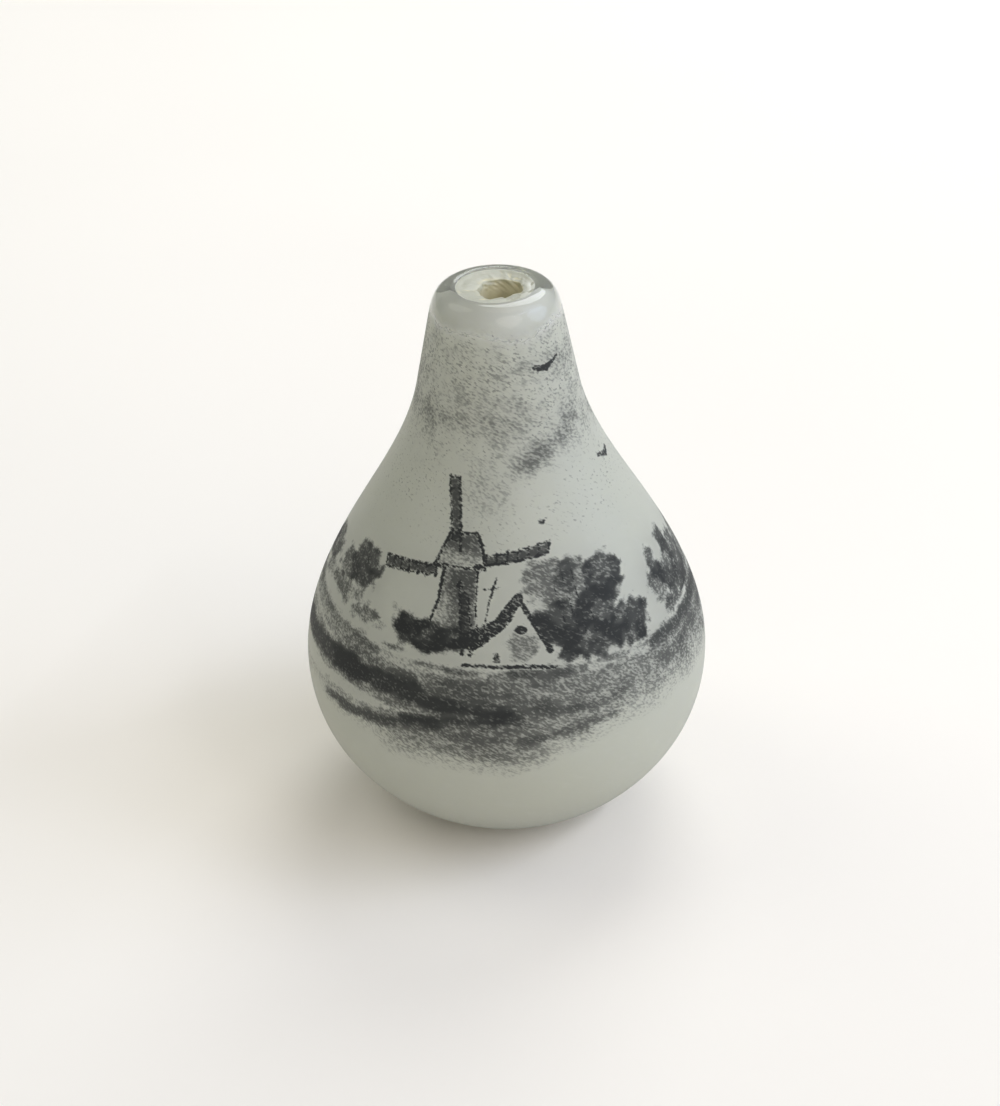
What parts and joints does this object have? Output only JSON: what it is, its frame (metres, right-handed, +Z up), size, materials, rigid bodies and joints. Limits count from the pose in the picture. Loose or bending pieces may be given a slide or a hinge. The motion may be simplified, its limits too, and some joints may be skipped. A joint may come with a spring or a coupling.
{
  "type": "miniature glass vase",
  "caption": "Miniature pear-shaped vase of matted glass over an opal lining, with a polished rounded lip, a small ragged mouth and a monochrome painted landscape.",
  "frame": {"origin": "centre of the foot ring, on the surface that the vase stands on", "axes": "+Z up along the axis of the vase, towards the mouth; -Y towards the side that holds the middle of the painted landscape"},
  "size_m": [0.032, 0.032, 0.045],
  "materials": {
    "matted_glass": "acid-matted milky glass with a fire-polished lip and grey-black painting"
  },
  "bodies": {
    "root": {"vase": "matted_glass"}
  },
  "joints": []
}
